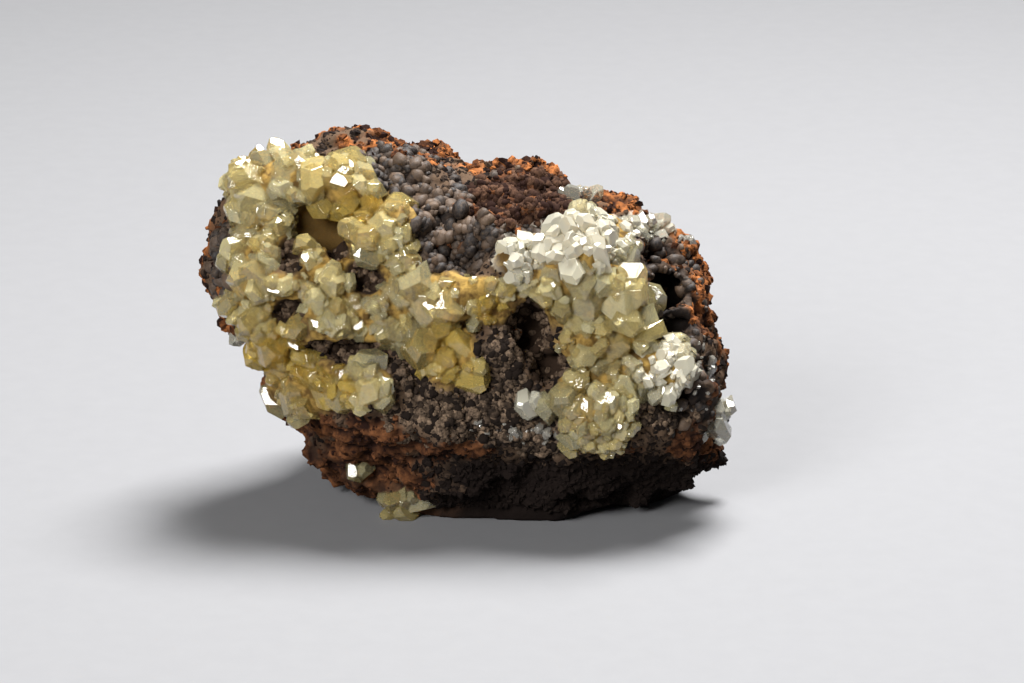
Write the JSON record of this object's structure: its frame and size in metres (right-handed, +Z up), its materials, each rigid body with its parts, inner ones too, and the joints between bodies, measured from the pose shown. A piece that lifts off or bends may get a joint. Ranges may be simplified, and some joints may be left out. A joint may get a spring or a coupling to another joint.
{
  "type": "adamite mineral specimen",
  "caption": "Rough lump of rusty brown limonite with a crust of honey-yellow adamite crystals grown over its front face, standing on a small flat base.",
  "frame": {"origin": "middle of the underside of the specimen's box, on the surface it stands on", "axes": "+X to the right as seen from the crystal face, along the specimen's length; the crystal face looks along -Y, tipped up a little; +Z up"},
  "size_m": [0.0396, 0.0264, 0.0278],
  "materials": {
    "limonite": "rough earthy limonite, rust-orange to brown-black",
    "adamite": "vitreous, translucent honey-yellow",
    "pale_crystal": "vitreous, translucent grey-white"
  },
  "bodies": {
    "root": {"limonite_matrix": "limonite", "adamite_crust": "adamite", "stray_crystal": "adamite", "base_crystals_left": "adamite", "base_crystals_middle": "adamite", "edge_crystals": "pale_crystal", "top_crystals": "pale_crystal", "rim_crystals": "pale_crystal", "side_crystals": "pale_crystal"}
  },
  "joints": []
}
